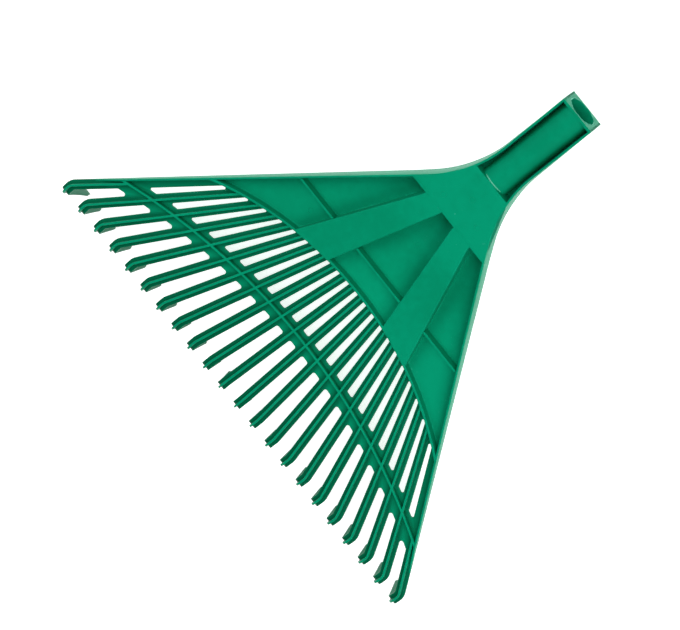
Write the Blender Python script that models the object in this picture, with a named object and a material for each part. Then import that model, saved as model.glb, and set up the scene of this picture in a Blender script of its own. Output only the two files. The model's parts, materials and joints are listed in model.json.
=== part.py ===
"""Head of a plastic leaf rake: a socket for the handle, a webbed deck and a fan of springy hooked tines.

The moulding is held as its separate features, a small gap apart. The fan lies in its own plane, whose empty
slopes so that the head rests on its hook ends and on the lower edge of its neck. In that plane X runs across
the fan, Y towards the handle and Z out of the ribbed face; tines aim at the fan's centre, its origin. The
socket rises from that plane where the hub ends, on an empty of its own.
"""

import math

import bmesh
import bpy
from mathutils import Matrix, Vector

# Fan
TINES = 22
TIP_PITCH = 0.0199
TIP_REACH = 0.2914
SHEET = 0.0020
FLANGE_WIDTH = 0.0082
STEM_WIDTH_AT_DECK = 0.0073
RIB_WIDTH = 0.0018
RIB_HEIGHT = 0.0042
GAP = 0.0003
FLEX_GAP = 0.0010

# Hooked tine ends
HOOK_DROP = 0.0345
TURN_RADIUS = 0.014
TURN_LEAD = 0.0105
BEND_RADIUS = 0.0025
HOOK_RIB = 0.0012
HOOK_TAPER = 0.005
HOOK_END_SHARE = 0.58

# Arcs across the fan: distance from the centre in the middle, and rise over a half chord
HALF_SPREAD = TIP_PITCH * (TINES - 1) / 2
DECK_ARC_MIDDLE = 0.493 * TIP_REACH
DECK_ARC_RISE = 0.120 * TIP_REACH
DECK_ARC_HALF_CHORD = 0.646 * HALF_SPREAD
TIE_ARC_MIDDLE = 0.7114 * TIP_REACH
TIE_ARC_RISE = 0.1184 * TIP_REACH
TIE_ARC_HALF_CHORD = 0.8734 * HALF_SPREAD
TIE_INNER = 0.0041
TIE_OUTER = 0.0102
ARC_RIB = 0.0020

# Deck
HUB_HEIGHT = 0.0175
HUB_EDGE = 0.0497
DECK_ARC_HEIGHT = 0.010
WALL = 0.0017
RIM_OFFSET = 0.0040
SPOKE_AT_HUB = (0.0065, 0.0249)
SPOKE_AT_DECK = (0.241 * DECK_ARC_HALF_CHORD, 0.493 * DECK_ARC_HALF_CHORD)
CROSS_RIB_AT = 0.8455 * DECK_ARC_MIDDLE
CROSS_RIB_DROP = 0.0005
RIM_LEAST = 0.0005

# Socket
SOCKET_RISE = math.radians(9)
BORE_RADIUS = 0.0112
BARREL_WALL = 0.0010
SOCKET_WIDTH = 2 * (BORE_RADIUS + BARREL_WALL) + 0.0054
SOCKET_HEIGHT = 2 * (BORE_RADIUS + BARREL_WALL)
SOCKET_FROM = 0.0077
SOCKET_LENGTH = 0.0816
END_PLATE = 0.0020
NECK_RADIUS = 0.095

GREEN = (0.002, 0.305, 0.155)
DEEP_GREEN = (0.001, 0.235, 0.112)

NECK_BOTTOM = HUB_HEIGHT - SOCKET_HEIGHT / math.cos(SOCKET_RISE)
SLOPE = math.atan2(HOOK_DROP + NECK_BOTTOM, TIP_REACH - SHEET - SOCKET_FROM)


def fan_matrix():
    """Place of the fan's plane: sloped to stand on hooks and neck, the head's footprint centred."""
    tilt = SOCKET_RISE - SLOPE
    hub_end = HUB_HEIGHT * math.sin(SLOPE) - SOCKET_FROM * math.cos(SLOPE)
    back = hub_end + SOCKET_LENGTH * math.cos(tilt) + SOCKET_HEIGHT * math.sin(tilt)
    front = (TIP_REACH + HOOK_RIB) * math.cos(SLOPE) + (HOOK_DROP - HOOK_TAPER) * math.sin(SLOPE)
    height = -SOCKET_FROM * math.sin(SLOPE) - NECK_BOTTOM * math.cos(SLOPE)
    place = Matrix.Translation((0, (front - back) / 2, height))
    return place @ Matrix.Rotation(-SLOPE, 4, "X")


FAN = fan_matrix()
TO_SOCKET = Matrix.Translation((0, -SOCKET_FROM, HUB_HEIGHT)) @ Matrix.Rotation(SOCKET_RISE, 4, "X")


def clear_scene():
    for obj in list(bpy.data.objects):
        bpy.data.objects.remove(obj)


def plastic(name, colour, roughness):
    material = bpy.data.materials.new(name)
    material.use_nodes = True
    shader = material.node_tree.nodes["Principled BSDF"]
    shader.inputs["Base Color"].default_value = (*colour, 1)
    shader.inputs["Roughness"].default_value = roughness
    shader.inputs["Metallic"].default_value = 0
    return material


def empty(name, matrix):
    made = bpy.data.objects.new(name, None)
    made.matrix_world = matrix
    made.empty_display_size = 0.02
    bpy.context.scene.collection.objects.link(made)
    return made


def finish(name, bm, colour, parent=None, at=None):
    """Makes a named object of a bmesh given in its parent's axes, with its origin at the point given."""
    if at is not None:
        bmesh.ops.translate(bm, verts=bm.verts, vec=-Vector(at))
    bmesh.ops.recalc_face_normals(bm, faces=bm.faces)
    mesh = bpy.data.meshes.new(name)
    bm.to_mesh(mesh)
    bm.free()
    obj = bpy.data.objects.new(name, mesh)
    mesh.materials.append(plastic(name, colour, 0.42))
    mesh.shade_smooth()
    mesh.set_sharp_from_angle(angle=math.radians(30))
    bpy.context.scene.collection.objects.link(obj)
    obj.parent = parent
    if at is not None:
        obj.location = at
    return obj


def loft(rings):
    """A closed body through rings of points, all of one count, with flat ends."""
    bm = bmesh.new()
    loops = [[bm.verts.new(point) for point in ring] for ring in rings]
    count = len(loops[0])
    for near, far in zip(loops, loops[1:]):
        for i in range(count):
            j = (i + 1) % count
            bm.faces.new((near[i], near[j], far[j], far[i]))
    bm.faces.new(loops[0])
    bm.faces.new(reversed(loops[-1]))
    return bm


def prism(outline, low, high):
    """A closed body over an outline, between two heights that are functions of the outline's Y."""
    bottom = [(x, y, low(y)) for x, y in outline]
    top = [(x, y, high(y)) for x, y in outline]
    return loft([bottom, top])


# Where things lie in the fan's plane


class Arc:
    """A circle whose near side bulges towards the hub, given by its middle point, rise and half chord."""

    def __init__(self, middle, rise, half_chord):
        self.radius = (half_chord**2 + rise**2) / (2 * rise)
        self.centre = -middle - self.radius

    def point(self, x, offset=0):
        """The point at this X on the circle grown by offset."""
        radius = self.radius + offset
        return x, self.centre + math.sqrt(radius**2 - x**2)

    def along(self, start, heading, offset=0):
        """How far a ray runs from its start to the grown circle's near side."""
        radius = self.radius + offset
        sx, sy = start
        hx, hy = heading
        toward = hx * sx + hy * (sy - self.centre)
        outside = sx**2 + (sy - self.centre) ** 2 - radius**2
        return -toward - math.sqrt(toward**2 - outside)


DECK_ARC = Arc(DECK_ARC_MIDDLE, DECK_ARC_RISE, DECK_ARC_HALF_CHORD)
TIE_ARC = Arc(TIE_ARC_MIDDLE, TIE_ARC_RISE, TIE_ARC_HALF_CHORD)


def tip_x(index):
    return (index - (TINES - 1) / 2) * TIP_PITCH


def tine_angle(index):
    return math.atan2(tip_x(index), TIP_REACH - TURN_LEAD)


OUTER_ANGLE = tine_angle(TINES - 1)


def on_ray(index, sideways, run):
    """The point of the fan's plane at this run along a tine's line, moved sideways."""
    angle = tine_angle(index)
    x = math.sin(angle) * run + math.cos(angle) * sideways
    y = -math.cos(angle) * run + math.sin(angle) * sideways
    return x, y


def run_to(arc, index, sideways, offset):
    """How far along a tine's line the arc grown by offset lies."""
    angle = tine_angle(index)
    return arc.along(on_ray(index, sideways, 0), (math.sin(angle), -math.cos(angle)), offset)


def rim_at(arc, inward, offset=0):
    """Where the arc grown by offset meets the right rim's outer face moved inwards."""
    sideways = RIM_OFFSET - inward
    return on_ray(TINES - 1, sideways, run_to(arc, TINES - 1, sideways, offset))


NECK_CORNER = (RIM_OFFSET - SOCKET_WIDTH / 2 * math.cos(OUTER_ANGLE)) / math.sin(OUTER_ANGLE)
NECK_END = NECK_CORNER + NECK_RADIUS * math.tan(OUTER_ANGLE / 2)


def rim_x(y, inward=0):
    """Half width of the head at this Y: the rim's straight, the neck's curve, then the socket's side."""
    radius = NECK_RADIUS + inward
    if y < NECK_END - radius * math.sin(OUTER_ANGLE):
        return (RIM_OFFSET - inward - y * math.sin(OUTER_ANGLE)) / math.cos(OUTER_ANGLE)
    if y < NECK_END:
        return SOCKET_WIDTH / 2 + NECK_RADIUS - math.sqrt(radius**2 - (NECK_END - y) ** 2)
    return SOCKET_WIDTH / 2 - inward


def spread(start, end, steps):
    """Evenly spaced values, both ends included."""
    return [start + (end - start) * i / steps for i in range(steps + 1)]


RIM_AT_TIE = rim_at(TIE_ARC, 0)[1]
RIM_TIP = rim_at(TIE_ARC, 0, -TIE_OUTER)[1]
SPOKE_TIP = DECK_ARC.point(sum(SPOKE_AT_DECK) / 2)[1]


def between(y, first, second):
    """Height at this Y on the straight line through two points, each a Y and a height."""
    share = (y - first[0]) / (second[0] - first[0])
    return first[1] + share * (second[1] - first[1])


def near_face(y):
    """Height of the ribbed side's outermost face: up the socket, level over the hub, down the spokes."""
    if y >= -SOCKET_FROM:
        return HUB_HEIGHT + (y + SOCKET_FROM) * math.tan(SOCKET_RISE)
    if y >= -HUB_EDGE:
        return HUB_HEIGHT
    return between(y, (-HUB_EDGE, HUB_HEIGHT), (SPOKE_TIP, DECK_ARC_HEIGHT))


def rim_top(y):
    """Height of the rims: as the hub's, then down to the tie band's rib and out on the last tine."""
    at_tie = (RIM_AT_TIE, SHEET + RIB_HEIGHT)
    if y >= -HUB_EDGE:
        return near_face(y)
    if y >= RIM_AT_TIE:
        return between(y, (-HUB_EDGE, HUB_HEIGHT), at_tie)
    return between(y, at_tie, (RIM_TIP, SHEET + RIM_LEAST))


def far_face(y):
    """Height of the underside: the sheet's, dropping over the hub to the socket's."""
    if y >= -SOCKET_FROM:
        return near_face(y) - SOCKET_HEIGHT / math.cos(SOCKET_RISE)
    if y >= -HUB_EDGE:
        return NECK_BOTTOM * (y + HUB_EDGE) / (HUB_EDGE - SOCKET_FROM)
    return 0.0


# Deck


def rim(side, name, fan):
    """The side wall: along the outer tine, round the neck and up to the socket's cheek."""
    rows = []
    for arc, offset in ((TIE_ARC, -TIE_OUTER), (TIE_ARC, 0)):
        rows.append((rim_at(arc, 0, offset), rim_at(arc, WALL, offset)))
    hub_run = spread(-HUB_EDGE, -SOCKET_FROM, 6)
    for y in hub_run + spread(-SOCKET_FROM, NECK_END, 3)[1:]:
        rows.append(((rim_x(y), y), (rim_x(y, WALL), y)))
    rings = []
    for (outer_x, outer_y), (inner_x, inner_y) in rows:
        ring = [
            (side * outer_x, outer_y, far_face(outer_y)),
            (side * outer_x, outer_y, rim_top(outer_y)),
            (side * inner_x, inner_y, rim_top(inner_y)),
            (side * inner_x, inner_y, far_face(inner_y)),
        ]
        rings.append(ring)
    return finish(name, loft(rings), GREEN, fan)


def offset_outline(points, inward):
    """A closed anticlockwise outline moved inwards along its edges' normals."""
    moved = []
    count = len(points)
    for i in range(count):
        before = Vector(points[i - 1])
        here = Vector(points[i])
        after = Vector(points[(i + 1) % count])
        first = (here - before).normalized()
        second = (after - here).normalized()
        first_normal = Vector((-first.y, first.x))
        second_normal = Vector((-second.y, second.x))
        mitre = (first_normal + second_normal).normalized()
        moved.append(tuple(here + mitre * (inward / mitre.dot(first_normal))))
    return moved


def hollow_shell(name, outline, fan):
    """A plate at the near face with walls down to the far face round its outline, open below."""
    made = finish(name, prism(outline, far_face, near_face), GREEN, fan)
    inside = offset_outline(outline, WALL)
    deep = TIP_REACH
    cutter = prism(inside, lambda y: far_face(y) - deep, lambda y: near_face(y) - SHEET)
    hollow = finish(name + "_hollow", cutter, GREEN, fan)
    hollow.hide_render = True
    hollow.display_type = "WIRE"
    cut = made.modifiers.new("hollow", "BOOLEAN")
    cut.operation = "DIFFERENCE"
    cut.object = hollow
    return made


def hub(fan):
    """The raised plate between socket and spokes, with its end wall facing the socket."""
    right = [(rim_x(y, WALL + GAP), y) for y in spread(-HUB_EDGE, -SOCKET_FROM, 6)]
    left = [(-x, y) for x, y in reversed(right)]
    return hollow_shell("hub_plate", right + left, fan)


def spoke_edges(side):
    """Inner and outer edge lines of a spoke, each from the hub's edge to the deck arc."""
    edges = []
    for at_hub, at_deck in zip(SPOKE_AT_HUB, SPOKE_AT_DECK):
        start = Vector((side * at_hub, -HUB_EDGE - GAP))
        end = Vector(DECK_ARC.point(side * at_deck, ARC_RIB / 2 + GAP))
        edges.append((start, end))
    return edges


def spoke(side, name, fan):
    """A raised arm from hub to deck arc, an inverted channel."""
    inner, outer = spoke_edges(side)
    left, right = (inner, outer) if side > 0 else (outer, inner)
    deck = arc_points(DECK_ARC, left[1].x, right[1].x, ARC_RIB / 2 + GAP, 6)
    outline = deck + [tuple(right[0]), tuple(left[0])]
    return hollow_shell(name, outline, fan)


def arc_points(arc, start_x, end_x, offset, steps):
    return [arc.point(x, offset) for x in spread(start_x, end_x, steps)]


def panel(name, fan, first_edge, second_edge):
    """A recessed sheet between two edge lines, from hub to deck arc; each edge is a start and an end point."""
    steps = 8
    deck = arc_points(DECK_ARC, second_edge[1][0], first_edge[1][0], ARC_RIB / 2 + GAP, steps)
    outline = [tuple(first_edge[0]), tuple(second_edge[0])] + deck
    body = prism(outline, lambda y: 0.0, lambda y: SHEET)
    return finish(name, body, DEEP_GREEN, fan)


def panel_edges():
    """For each panel its two edge lines, a gap clear of rims and spokes, from left to right."""
    rims = {}
    spokes = {}
    for side in (-1, 1):
        hub_y = -HUB_EDGE - GAP
        deck_x, deck_y = rim_at(DECK_ARC, WALL + GAP, ARC_RIB / 2 + GAP)
        rims[side] = (Vector((side * rim_x(hub_y, WALL + GAP), hub_y)), Vector((side * deck_x, deck_y)))
        inner, outer = spoke_edges(side)
        apart = Vector((side * GAP * 1.5, 0))
        spokes[side, "inner"] = (inner[0] - apart, inner[1] - apart)
        spokes[side, "outer"] = (outer[0] + apart, outer[1] + apart)
    return (
        ("panel_left", rims[-1], spokes[-1, "outer"]),
        ("panel_centre", spokes[-1, "inner"], spokes[1, "inner"]),
        ("panel_right", spokes[1, "outer"], rims[1]),
    )


def cross_rib(name, fan, first_edge, second_edge):
    """A rib straight across a panel, nearly as high as the spokes beside it."""
    ends = []
    for start, end in (first_edge, second_edge):
        share = (CROSS_RIB_AT + start.y) / (start.y - end.y)
        ends.append(start.x + (end.x - start.x) * share)
    inset = WALL
    half = RIB_WIDTH / 2
    y = -CROSS_RIB_AT
    outline = [
        (ends[0] + inset, y - half),
        (ends[1] - inset, y - half),
        (ends[1] - inset, y + half),
        (ends[0] + inset, y + half),
    ]
    high = near_face(y) - CROSS_RIB_DROP
    body = prism(outline, lambda at: SHEET + GAP, lambda at: high)
    return finish(name, body, GREEN, fan)


def arc_rib(fan):
    """The upright wall that closes the deck, along its arc from rim to rim."""
    half = ARC_RIB / 2
    end = rim_at(DECK_ARC, WALL + GAP)[0] - half
    rings = []
    for x in spread(-end, end, 28):
        hub_side = DECK_ARC.point(x, half)
        tine_side = DECK_ARC.point(x, -half)
        rings.append(
            [
                (*tine_side, 0.0),
                (*hub_side, 0.0),
                (*hub_side, DECK_ARC_HEIGHT),
                (*tine_side, DECK_ARC_HEIGHT),
            ]
        )
    return finish("deck_arc_rib", loft(rings), GREEN, fan)


def tie_band(fan):
    """The web that ties all tines across the fan, wider on the tines' side of its rib."""
    rib = RIB_WIDTH / 2
    profile = (
        (-TIE_OUTER, 0.0),
        (TIE_INNER, 0.0),
        (TIE_INNER, SHEET),
        (rib, SHEET),
        (rib, SHEET + RIB_HEIGHT),
        (-rib, SHEET + RIB_HEIGHT),
        (-rib, SHEET),
        (-TIE_OUTER, SHEET),
    )
    ends = {}
    for offset, _ in profile:
        ends[offset] = rim_at(TIE_ARC, WALL + GAP, offset)[0]
    rings = []
    for share in spread(-1, 1, 30):
        rings.append([(*TIE_ARC.point(share * ends[o], o), z) for o, z in profile])
    return finish("tie_band", loft(rings), GREEN, fan)


# Tines


def section(width, rib, thickness=SHEET):
    """A tee: a flange with a rib along its middle, as sideways and height pairs."""
    half = width / 2
    stem = RIB_WIDTH / 2
    return (
        (-half, 0.0),
        (half, 0.0),
        (half, thickness),
        (stem, thickness),
        (stem, thickness + rib),
        (-stem, thickness + rib),
        (-stem, thickness),
        (-half, thickness),
    )


def stem(index, name, fan):
    """The inner length of a tine, between deck arc and tie band."""
    rings = []
    ends = (
        (DECK_ARC, -ARC_RIB / 2 - GAP, STEM_WIDTH_AT_DECK),
        (TIE_ARC, TIE_INNER + GAP, FLANGE_WIDTH),
    )
    for arc, offset, width in ends:
        ring = []
        for sideways, height in section(width, RIB_HEIGHT):
            run = run_to(arc, index, sideways, offset)
            ring.append((*on_ray(index, sideways, run), height))
        rings.append(ring)
    return finish(name, loft(rings), GREEN, fan)


def hinge_point(index):
    """Middle of the gap between tie band and free tine, at half the tine's depth."""
    run = run_to(TIE_ARC, index, 0, -TIE_OUTER - FLEX_GAP / 2)
    return Vector((*on_ray(index, 0, run), (SHEET + RIB_HEIGHT) / 2))


def root_ring(index):
    ring = []
    for sideways, height in section(FLANGE_WIDTH, RIB_HEIGHT):
        run = run_to(TIE_ARC, index, sideways, -TIE_OUTER - FLEX_GAP)
        ring.append((*on_ray(index, sideways, run), height))
    return ring


def turn_rings(index, steps):
    """Rings through the curve in the fan's plane that brings the tine parallel to the handle."""
    angle = tine_angle(index)
    side = math.copysign(1, angle)
    turn = abs(angle)
    room = TURN_LEAD - SHEET - BEND_RADIUS - GAP
    radius = min(TURN_RADIUS, room / math.tan(turn / 2))
    tangent = radius * math.tan(turn / 2)
    corner_y = -(TIP_REACH - TURN_LEAD)
    end = Vector((tip_x(index), corner_y - tangent))
    rings = []
    for i in range(steps + 1):
        left = turn * (1 - i / steps)
        x = end.x - side * radius * (1 - math.cos(left))
        y = end.y + radius * math.sin(left)
        ring = []
        for sideways, height in section(FLANGE_WIDTH, RIB_HEIGHT):
            across = Vector((math.cos(left), side * math.sin(left))) * sideways
            ring.append((x + across.x, y + across.y, height))
        rings.append(ring)
    return rings


def bend_rings(index, steps):
    """Rings through the bend that carries the tine down, its rib on the outside growing lower."""
    x = tip_x(index)
    depth = SHEET + BEND_RADIUS
    centre_y = -TIP_REACH + depth
    rings = []
    for i in range(steps + 1):
        share = i / steps
        turned = math.pi / 2 * share
        rib = RIB_HEIGHT + (HOOK_RIB - RIB_HEIGHT) * share
        ring = []
        for sideways, height in section(FLANGE_WIDTH, rib):
            out = BEND_RADIUS + height
            y = centre_y - out * math.sin(turned)
            z = -BEND_RADIUS + out * math.cos(turned)
            ring.append((x + sideways, y, z))
        rings.append(ring)
    return rings


def hook_rings(index):
    """Rings of the hook's straight length and of its narrowing end."""
    x = tip_x(index)
    inner_y = -TIP_REACH + SHEET
    rings = []
    stations = (
        (HOOK_DROP - HOOK_TAPER, FLANGE_WIDTH, HOOK_RIB),
        (HOOK_DROP, FLANGE_WIDTH * HOOK_END_SHARE, HOOK_RIB / 4),
    )
    for drop, width, rib in stations:
        rings.append([(x + s, inner_y - h, -drop) for s, h in section(width, rib)])
    return rings


def tine(index, name, fan):
    """The free length of a tine with its hooked end, turning about the root where it flexes."""
    rings = [root_ring(index)]
    rings += turn_rings(index, 3)
    rings += bend_rings(index, 3)
    rings += hook_rings(index)
    return finish(name, loft(rings), GREEN, fan, hinge_point(index))


# Socket


def tube(name, start, end, outside, socket):
    """A turned body around the socket's axis with the bore through it; outside is its outline's points."""
    bm = bmesh.new()
    count = 40
    rings = []
    for y in (start, end):
        outer = [bm.verts.new((x, y, z)) for x, z in outside(count)]
        inner = []
        for i in range(count):
            turned = 2 * math.pi * i / count
            x = BORE_RADIUS * math.cos(turned)
            z = BORE_RADIUS * math.sin(turned) - SOCKET_HEIGHT / 2
            inner.append(bm.verts.new((x, y, z)))
        rings.append((outer, inner))
    for i in range(count):
        j = (i + 1) % count
        (outer_a, inner_a), (outer_b, inner_b) = rings
        bm.faces.new((outer_a[i], outer_a[j], outer_b[j], outer_b[i]))
        bm.faces.new((inner_a[j], inner_a[i], inner_b[i], inner_b[j]))
        bm.faces.new((outer_a[j], outer_a[i], inner_a[i], inner_a[j]))
        bm.faces.new((outer_b[i], outer_b[j], inner_b[j], inner_b[i]))
    return finish(name, bm, GREEN, socket)


def round_outside(count):
    radius = BORE_RADIUS + BARREL_WALL
    points = []
    for i in range(count):
        turned = 2 * math.pi * i / count
        points.append((radius * math.cos(turned), radius * math.sin(turned) - SOCKET_HEIGHT / 2))
    return points


def square_outside(count):
    """Points round the end plate's edge, one for each ray from the bore's axis, four of them at its corners."""
    half_width = SOCKET_WIDTH / 2
    half_height = SOCKET_HEIGHT / 2
    corner = math.atan2(half_height, half_width)
    corners = (corner, math.pi - corner, math.pi + corner, 2 * math.pi - corner)
    points = []
    for i in range(count):
        turned = 2 * math.pi * i / count
        nearest = min(corners, key=lambda angle: abs(angle - turned))
        if abs(nearest - turned) < math.pi / count:
            turned = nearest
        if abs(math.cos(turned)) * half_height > abs(math.sin(turned)) * half_width:
            run = half_width / abs(math.cos(turned))
        else:
            run = half_height / abs(math.sin(turned))
        points.append((run * math.cos(turned), run * math.sin(turned) - half_height))
    return points


def cheek(side, name, socket):
    """A straight side wall of the socket, from the neck's rim to the end plate."""
    start = (NECK_END + SOCKET_FROM + GAP) / math.cos(SOCKET_RISE)
    end = SOCKET_LENGTH - END_PLATE - GAP
    outline = (
        (start, 0.0),
        (end, 0.0),
        (end, -SOCKET_HEIGHT),
        (start - SOCKET_HEIGHT * math.tan(SOCKET_RISE), -SOCKET_HEIGHT),
    )
    outer = side * SOCKET_WIDTH / 2
    inner = outer - side * WALL
    rings = [[(x, y, z) for y, z in outline] for x in (outer, inner)]
    return finish(name, loft(rings), GREEN, socket)


def build():
    clear_scene()
    fan = empty("fan_plane", FAN)
    socket = empty("socket_axis", FAN @ TO_SOCKET)
    plate_start = SOCKET_LENGTH - END_PLATE
    tube("socket_barrel", GAP, plate_start - GAP, round_outside, socket)
    tube("socket_end_plate", plate_start, SOCKET_LENGTH, square_outside, socket)
    cheek(-1, "socket_cheek_left", socket)
    cheek(1, "socket_cheek_right", socket)
    hub(fan)
    rim(-1, "rim_left", fan)
    rim(1, "rim_right", fan)
    spoke(-1, "spoke_left", fan)
    spoke(1, "spoke_right", fan)
    for name, first_edge, second_edge in panel_edges():
        panel(name, fan, first_edge, second_edge)
        cross_rib(name.replace("panel", "cross_rib"), fan, first_edge, second_edge)
    arc_rib(fan)
    tie_band(fan)
    for index in range(1, TINES - 1):
        stem(index, f"stem_{index + 1:02d}", fan)
    for index in range(TINES):
        tine(index, f"tine_{index + 1:02d}", fan)


build()
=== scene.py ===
"""Looks of a plastic leaf rake head: one green injection moulding with a handle socket, a webbed deck
and 22 tines.

Everything is worked out in the fan's own plane: X across the fan, Y towards the handle, Z out of the
ribbed face, with the point that all tines aim at as its origin. The plane is read off the hinges at the
tine roots.
"""

import json
import math

import bpy
import numpy as np
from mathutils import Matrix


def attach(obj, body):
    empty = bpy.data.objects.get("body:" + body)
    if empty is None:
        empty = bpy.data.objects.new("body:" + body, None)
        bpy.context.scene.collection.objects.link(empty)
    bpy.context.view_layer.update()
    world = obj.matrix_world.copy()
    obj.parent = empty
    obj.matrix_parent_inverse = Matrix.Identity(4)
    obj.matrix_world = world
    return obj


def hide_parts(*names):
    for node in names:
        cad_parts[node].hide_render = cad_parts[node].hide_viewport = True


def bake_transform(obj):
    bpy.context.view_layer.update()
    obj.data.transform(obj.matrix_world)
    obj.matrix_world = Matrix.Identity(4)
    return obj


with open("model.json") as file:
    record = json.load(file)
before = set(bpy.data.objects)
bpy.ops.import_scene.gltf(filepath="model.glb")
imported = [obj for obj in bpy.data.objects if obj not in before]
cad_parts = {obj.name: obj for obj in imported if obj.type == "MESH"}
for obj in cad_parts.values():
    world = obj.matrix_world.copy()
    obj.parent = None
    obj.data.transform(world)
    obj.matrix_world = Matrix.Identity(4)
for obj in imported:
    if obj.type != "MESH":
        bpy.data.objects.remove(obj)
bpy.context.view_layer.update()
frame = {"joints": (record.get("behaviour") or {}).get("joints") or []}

# --------------------------------------------------------------------------------------------------
# Fan. The head is one moulding, drawn straight out of a two-part tool, with the ribs on its open side.
# Its tines lie on rays from one centre, and every tine root has a hinge, which gives plane, centre and
# angle.

SHEET = 0.0020
RIB_WIDTH = 0.0018
RIB_HEIGHT = 0.0042
FLANGE_WIDTH = 0.0082
STEM_WIDTH_AT_DECK = 0.0073

hinge_at = np.array([joint["pos_m"] for joint in frame["joints"]])
hinge_axis = np.array([joint["axis"] for joint in frame["joints"]])
TINES = len(hinge_at)

out = np.cross(hinge_axis[0], hinge_axis[-1])
out /= np.linalg.norm(out)
across = -(hinge_axis[0] + hinge_axis[-1])
across /= np.linalg.norm(across)
to_handle = np.cross(out, across)
tine_angle = np.arctan2(-hinge_axis @ to_handle, -hinge_axis @ across)
outer_angle = tine_angle[-1]
hinge_run = (hinge_at[-1] - hinge_at[0]) @ across / (2 * math.sin(outer_angle))
hinge_middle = (hinge_at[0] + hinge_at[-1]) / 2
centre = hinge_middle + to_handle * hinge_run * math.cos(outer_angle) - out * (SHEET + RIB_HEIGHT) / 2


def on_fan(x, y, z):
    """World points of the fan's plane: centre plus x across, y to the handle and z out of the ribbed face."""
    x, y, z = np.broadcast_arrays(x, y, z)
    return centre + x[..., None] * across + y[..., None] * to_handle + z[..., None] * out


def skin(grid, ring=False):
    """A closed shell over stations of a closed profile: quads between neighbours, the two end profiles as
    caps, or with ring the last station joined to the first. Inside out shells are turned."""
    stations, around = grid.shape[:2]
    number = np.arange(stations * around).reshape(stations, around)
    here = number if ring else number[:-1]
    there = np.roll(number, -1, axis=0) if ring else number[1:]
    quads = np.stack([here, np.roll(here, -1, axis=1), np.roll(there, -1, axis=1), there], axis=-1)
    quads = quads.reshape(-1, 4)
    points = grid.reshape(-1, 3)
    a, b, c, d = (points[quads[:, k]] - points.mean(axis=0) for k in range(4))
    inside_out = np.einsum("ij,ij->", a, np.cross(b, c) + np.cross(c, d)) < 0
    faces = quads.tolist()
    if not ring:
        faces += [number[0, ::-1].tolist(), number[-1].tolist()]
    if inside_out:
        faces = [face[::-1] for face in faces]
    return points, faces


def plate(top, bottom):
    """A closed shell of two grids of one shape, joined by walls round their edges."""
    rows, columns = top.shape[:2]
    number = np.arange(rows * columns).reshape(rows, columns)
    quads = np.stack([number[:-1, :-1], number[:-1, 1:], number[1:, 1:], number[1:, :-1]], axis=-1)
    quads = quads.reshape(-1, 4)
    rim_loop = np.concatenate([number[0, :-1], number[:-1, -1], number[-1, :0:-1], number[:0:-1, 0]])
    following = np.roll(rim_loop, -1)
    below = rows * columns
    walls = np.stack([rim_loop, rim_loop + below, following + below, following], axis=-1)
    faces = np.concatenate([quads, quads[:, ::-1] + below, walls])
    points = np.concatenate([top.reshape(-1, 3), bottom.reshape(-1, 3)])
    a, b, c, d = (points[faces[:, k]] - points.mean(axis=0) for k in range(4))
    if np.einsum("ij,ij->", a, np.cross(b, c) + np.cross(c, d)) < 0:
        faces = faces[:, ::-1]
    return points, faces.tolist()


def piece(name, shells, material, painted_exposure=None):
    """One object of closed shells, smooth but for edges sharper than 32 degrees. The exposure values set, as
    an attribute for the material, how far its points escape painted shade: 1 on a crest, 0 in a corner."""
    points = np.concatenate([shell[0] for shell in shells])
    faces = []
    used = 0
    for shell_points, shell_faces in shells:
        faces += [[used + corner for corner in face] for face in shell_faces]
        used += len(shell_points)
    mesh = bpy.data.meshes.new(name)
    mesh.from_pydata(points.tolist(), [], faces)
    mesh.validate()
    mesh.shade_smooth()
    mesh.set_sharp_from_angle(angle=math.radians(32))
    mesh.materials.append(material)
    if painted_exposure is not None:
        mesh.attributes.new("painted_exposure", "FLOAT", "POINT").data.foreach_set("value", painted_exposure)
    made = bpy.data.objects.new(name, mesh)
    bpy.context.scene.collection.objects.link(made)
    return made


def spread(*stops):
    """Values through stops, each (value, steps to the next); the last stop's steps are left out."""
    runs = [np.linspace(a[0], b[0], a[1] + 1)[:-1] for a, b in zip(stops, stops[1:])]
    return np.concatenate([*runs, [stops[-1][0]]])


def quarter(middle_x, middle_z, radius, start, steps=3, turn=90):
    """Points of an arc about a middle from a start angle, in degrees, clockwise if turn is negative."""
    angle = np.radians(start + np.linspace(0, turn, steps + 1))
    return middle_x + radius * np.cos(angle), middle_z + radius * np.sin(angle)


# --------------------------------------------------------------------------------------------------
# Plastic. Polypropylene coloured through with an emerald pigment. The pigment flows unevenly, the tool's
# spark eroded face leaves a fine grain, and handling leaves pale scuffs, which are also a little rougher.
# The tine plastic has painted shade beside its ribs and underneath, which leaves its crests lighter.

DECK_GREEN = (0.0010, 0.290, 0.150, 1)
DECK_GREEN_DEEP = (0.0008, 0.245, 0.122, 1)
TINE_GREEN = (0.0012, 0.300, 0.154, 1)
TINE_GREEN_DEEP = (0.0010, 0.270, 0.136, 1)
# Painted shade: the tine green darkened where the ribs would shade it.
TINE_GREEN_PAINTED_SHADE = (0.0006, 0.120, 0.052, 1)
SCUFF_GREEN = (0.050, 0.400, 0.270, 1)
SHEEN_GREEN = (0.05, 0.9, 0.62, 1)
# Whitish flash: a burr at the bore's mouth, and a painted highlight on the bead along the barrel's top.
BURR_AND_HIGHLIGHT_WHITE = (0.22, 0.66, 0.48, 1)


def wire(tree, source, target):
    tree.links.new(source, target)


def noise(tree, coordinates, scale, detail, roughness=0.5):
    made = tree.nodes.new("ShaderNodeTexNoise")
    made.inputs["Scale"].default_value = scale
    made.inputs["Detail"].default_value = detail
    made.inputs["Roughness"].default_value = roughness
    wire(tree, coordinates, made.inputs["Vector"])
    return made.outputs["Fac"]


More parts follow.
